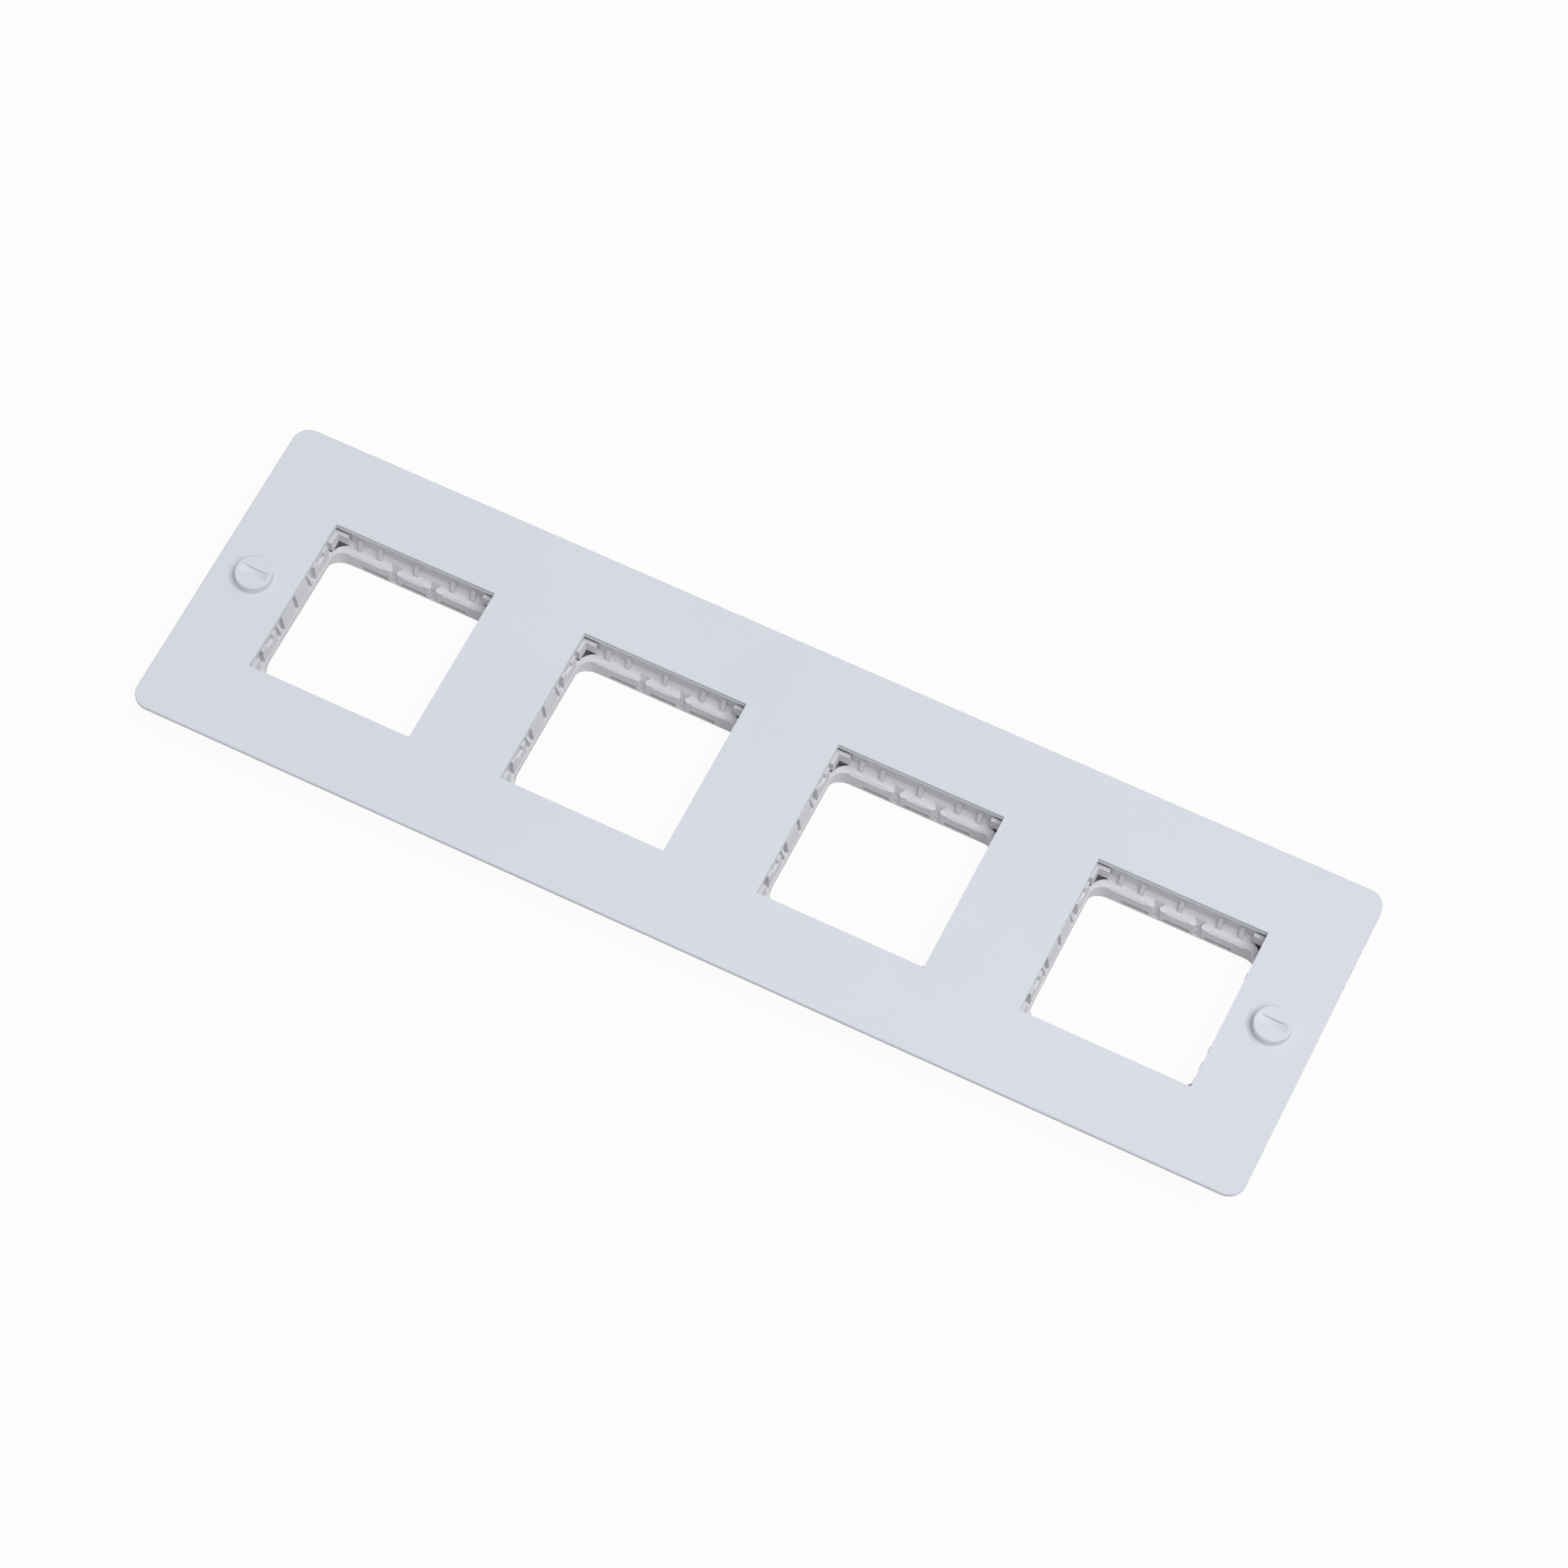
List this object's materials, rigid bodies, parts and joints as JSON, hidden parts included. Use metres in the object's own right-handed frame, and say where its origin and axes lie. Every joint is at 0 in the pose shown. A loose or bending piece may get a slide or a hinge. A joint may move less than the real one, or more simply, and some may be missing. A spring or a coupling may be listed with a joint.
{
  "type": "wall plate",
  "caption": "Long flat wall plate for structured cabling: square windows with moulded module frames behind them and a coin-slotted captive screw at each end.",
  "frame": {"origin": "centre of the plate's back face, the face that meets the wall", "axes": "+X along the plate's length, +Y across its width, +Z out of its face"},
  "size_m": [0.303, 0.089, 0.0166],
  "materials": {
    "plate_paint": "satin cool-white powder coat on sheet steel",
    "screw_paint": "same cool-white paint as the plate",
    "frame_moulding": "fine matt moulded plastic, pale neutral grey",
    "plated_steel": "bright zinc plating",
    "spring_steel": "phosphated spring steel",
    "nylon": "natural nylon"
  },
  "bodies": {
    "plate": {"face_plate": "plate_paint", "module_frame_1": "frame_moulding", "weld_studs_1": "plated_steel", "push_nuts_1": "spring_steel", "module_frame_2": "frame_moulding", "weld_studs_2": "plated_steel", "push_nuts_2": "spring_steel", "module_frame_3": "frame_moulding", "weld_studs_3": "plated_steel", "push_nuts_3": "spring_steel", "module_frame_4": "frame_moulding", "weld_studs_4": "plated_steel", "push_nuts_4": "spring_steel", "earth_stud": "plated_steel", "earth_washer": "plated_steel", "earth_nut": "plated_steel"},
    "left_screw": {"coin_screw_left": "screw_paint", "retaining_washer_left": "nylon"},
    "right_screw": {"coin_screw_right": "screw_paint", "retaining_washer_right": "nylon"}
  },
  "joints": [
    {"name": "left_screw_turn", "type": "hinge", "parent": "plate", "child": "left_screw", "pos_m": [-0.14035, 0, 0], "axis": [0, 0, 1], "continuous": true},
    {"name": "right_screw_turn", "type": "hinge", "parent": "plate", "child": "right_screw", "pos_m": [0.14035, 0, 0], "axis": [0, 0, 1], "continuous": true}
  ]
}
